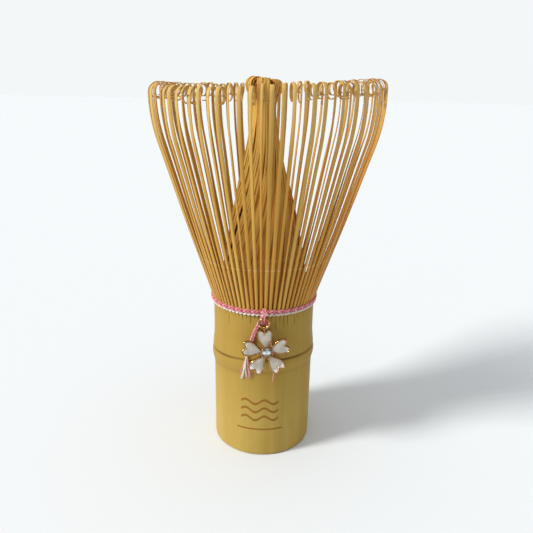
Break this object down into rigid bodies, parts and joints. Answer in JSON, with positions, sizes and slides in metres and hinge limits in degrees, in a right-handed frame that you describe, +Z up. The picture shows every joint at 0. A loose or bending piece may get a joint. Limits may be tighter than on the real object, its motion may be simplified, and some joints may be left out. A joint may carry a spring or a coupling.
{
  "type": "bamboo tea whisk",
  "caption": "Bamboo tea whisk: hollow culm handle, flared outer tines with curled tips, inner tines drawn to a knot, two-colour thread binding and a hanging blossom charm.",
  "frame": {"origin": "centre of the handle's foot, on the surface it stands on", "axes": "+Z up along the whisk, towards the tips; the charm hangs on the -Y side"},
  "size_m": [0.0612, 0.0612, 0.106],
  "materials": {
    "bamboo_skin": "natural bamboo skin, satin",
    "bamboo_tine": "split and shaved bamboo, satin",
    "bamboo_inner": "split bamboo, matt",
    "pink_thread": "twisted cotton thread",
    "white_thread": "twisted cotton thread",
    "gold_metal": "polished, warm gold plate",
    "pearl_enamel": "glossy pearl-white enamel",
    "crystal": "clear cut crystal"
  },
  "bodies": {
    "handle": {"handle_culm": "bamboo_skin", "inner_tines_01": "bamboo_inner", "inner_tines_02": "bamboo_inner", "inner_tines_03": "bamboo_inner", "inner_tines_04": "bamboo_inner", "inner_tines_05": "bamboo_inner", "inner_tines_06": "bamboo_inner", "inner_tines_07": "bamboo_inner", "inner_tines_08": "bamboo_inner", "inner_tines_09": "bamboo_inner", "inner_tines_10": "bamboo_inner", "inner_tines_11": "bamboo_inner", "inner_tines_12": "bamboo_inner", "inner_tines_13": "bamboo_inner", "inner_tines_14": "bamboo_inner", "inner_tines_15": "bamboo_inner", "inner_tines_16": "bamboo_inner", "binding_thread_pink": "pink_thread", "binding_thread_white": "white_thread", "thread_tail_braid": "pink_thread", "thread_tail_tassel": "white_thread", "thread_stray_strand": "pink_thread", "hanging_thread_loop": "pink_thread"},
    "tine_group_01": {"outer_tines_01": "bamboo_tine"},
    "tine_group_02": {"outer_tines_02": "bamboo_tine"},
    "tine_group_03": {"outer_tines_03": "bamboo_tine"},
    "tine_group_04": {"outer_tines_04": "bamboo_tine"},
    "tine_group_05": {"outer_tines_05": "bamboo_tine"},
    "tine_group_06": {"outer_tines_06": "bamboo_tine"},
    "tine_group_07": {"outer_tines_07": "bamboo_tine"},
    "tine_group_08": {"outer_tines_08": "bamboo_tine"},
    "tine_group_09": {"outer_tines_09": "bamboo_tine"},
    "tine_group_10": {"outer_tines_10": "bamboo_tine"},
    "tine_group_11": {"outer_tines_11": "bamboo_tine"},
    "tine_group_12": {"outer_tines_12": "bamboo_tine"},
    "tine_group_13": {"outer_tines_13": "bamboo_tine"},
    "tine_group_14": {"outer_tines_14": "bamboo_tine"},
    "tine_group_15": {"outer_tines_15": "bamboo_tine"},
    "tine_group_16": {"outer_tines_16": "bamboo_tine"},
    "jump_ring": {"jump_ring": "gold_metal"},
    "charm": {"charm_frame": "gold_metal", "petal_enamel_1": "pearl_enamel", "petal_enamel_2": "pearl_enamel", "petal_enamel_3": "pearl_enamel", "petal_enamel_4": "pearl_enamel", "petal_enamel_5": "pearl_enamel", "stone_setting": "gold_metal", "crystal_stone": "crystal"}
  },
  "joints": [
    {"name": "tine_flex_01", "type": "hinge", "parent": "handle", "child": "tine_group_01", "pos_m": [0.01403, 0.00279, 0.0454], "axis": [-0.1951, 0.9808, 0], "range_deg": [-2.5, 4], "stiffness_Nm_per_rad": 0.01},
    {"name": "tine_flex_02", "type": "hinge", "parent": "handle", "child": "tine_group_02", "pos_m": [0.01189, 0.00794, 0.0454], "axis": [-0.5556, 0.8315, 0], "range_deg": [-2.5, 4], "stiffness_Nm_per_rad": 0.01},
    {"name": "tine_flex_03", "type": "hinge", "parent": "handle", "child": "tine_group_03", "pos_m": [0.00794, 0.01189, 0.0454], "axis": [-0.8315, 0.5556, 0], "range_deg": [-2.5, 4], "stiffness_Nm_per_rad": 0.01},
    {"name": "tine_flex_04", "type": "hinge", "parent": "handle", "child": "tine_group_04", "pos_m": [0.00279, 0.01403, 0.0454], "axis": [-0.9808, 0.1951, 0], "range_deg": [-2.5, 4], "stiffness_Nm_per_rad": 0.01},
    {"name": "tine_flex_05", "type": "hinge", "parent": "handle", "child": "tine_group_05", "pos_m": [-0.00279, 0.01403, 0.0454], "axis": [-0.9808, -0.1951, 0], "range_deg": [-2.5, 4], "stiffness_Nm_per_rad": 0.01},
    {"name": "tine_flex_06", "type": "hinge", "parent": "handle", "child": "tine_group_06", "pos_m": [-0.00794, 0.01189, 0.0454], "axis": [-0.8315, -0.5556, 0], "range_deg": [-2.5, 4], "stiffness_Nm_per_rad": 0.01},
    {"name": "tine_flex_07", "type": "hinge", "parent": "handle", "child": "tine_group_07", "pos_m": [-0.01189, 0.00794, 0.0454], "axis": [-0.5556, -0.8315, 0], "range_deg": [-2.5, 4], "stiffness_Nm_per_rad": 0.01},
    {"name": "tine_flex_08", "type": "hinge", "parent": "handle", "child": "tine_group_08", "pos_m": [-0.01403, 0.00279, 0.0454], "axis": [-0.1951, -0.9808, 0], "range_deg": [-2.5, 4], "stiffness_Nm_per_rad": 0.01},
    {"name": "tine_flex_09", "type": "hinge", "parent": "handle", "child": "tine_group_09", "pos_m": [-0.01403, -0.00279, 0.0454], "axis": [0.1951, -0.9808, 0], "range_deg": [-2.5, 4], "stiffness_Nm_per_rad": 0.01},
    {"name": "tine_flex_10", "type": "hinge", "parent": "handle", "child": "tine_group_10", "pos_m": [-0.01189, -0.00794, 0.0454], "axis": [0.5556, -0.8315, 0], "range_deg": [-2.5, 4], "stiffness_Nm_per_rad": 0.01},
    {"name": "tine_flex_11", "type": "hinge", "parent": "handle", "child": "tine_group_11", "pos_m": [-0.00794, -0.01189, 0.0454], "axis": [0.8315, -0.5556, 0], "range_deg": [-2.5, 4], "stiffness_Nm_per_rad": 0.01},
    {"name": "tine_flex_12", "type": "hinge", "parent": "handle", "child": "tine_group_12", "pos_m": [-0.00279, -0.01403, 0.0454], "axis": [0.9808, -0.1951, 0], "range_deg": [-2.5, 4], "stiffness_Nm_per_rad": 0.01},
    {"name": "tine_flex_13", "type": "hinge", "parent": "handle", "child": "tine_group_13", "pos_m": [0.00279, -0.01403, 0.0454], "axis": [0.9808, 0.1951, 0], "range_deg": [-2.5, 4], "stiffness_Nm_per_rad": 0.01},
    {"name": "tine_flex_14", "type": "hinge", "parent": "handle", "child": "tine_group_14", "pos_m": [0.00794, -0.01189, 0.0454], "axis": [0.8315, 0.5556, 0], "range_deg": [-2.5, 4], "stiffness_Nm_per_rad": 0.01},
    {"name": "tine_flex_15", "type": "hinge", "parent": "handle", "child": "tine_group_15", "pos_m": [0.01189, -0.00794, 0.0454], "axis": [0.5556, 0.8315, 0], "range_deg": [-2.5, 4], "stiffness_Nm_per_rad": 0.01},
    {"name": "tine_flex_16", "type": "hinge", "parent": "handle", "child": "tine_group_16", "pos_m": [0.01403, -0.00279, 0.0454], "axis": [0.1951, 0.9808, 0], "range_deg": [-2.5, 4], "stiffness_Nm_per_rad": 0.01},
    {"name": "jump_ring_swing", "type": "hinge", "parent": "handle", "child": "jump_ring", "pos_m": [0.0003, -0.01705, 0.04545], "axis": [-1, 0, 0], "range_deg": [0, 70]},
    {"name": "charm_swing", "type": "hinge", "parent": "jump_ring", "child": "charm", "pos_m": [0.0003, -0.01705, 0.04255], "axis": [-1, 0, 0], "range_deg": [0, 60]}
  ]
}
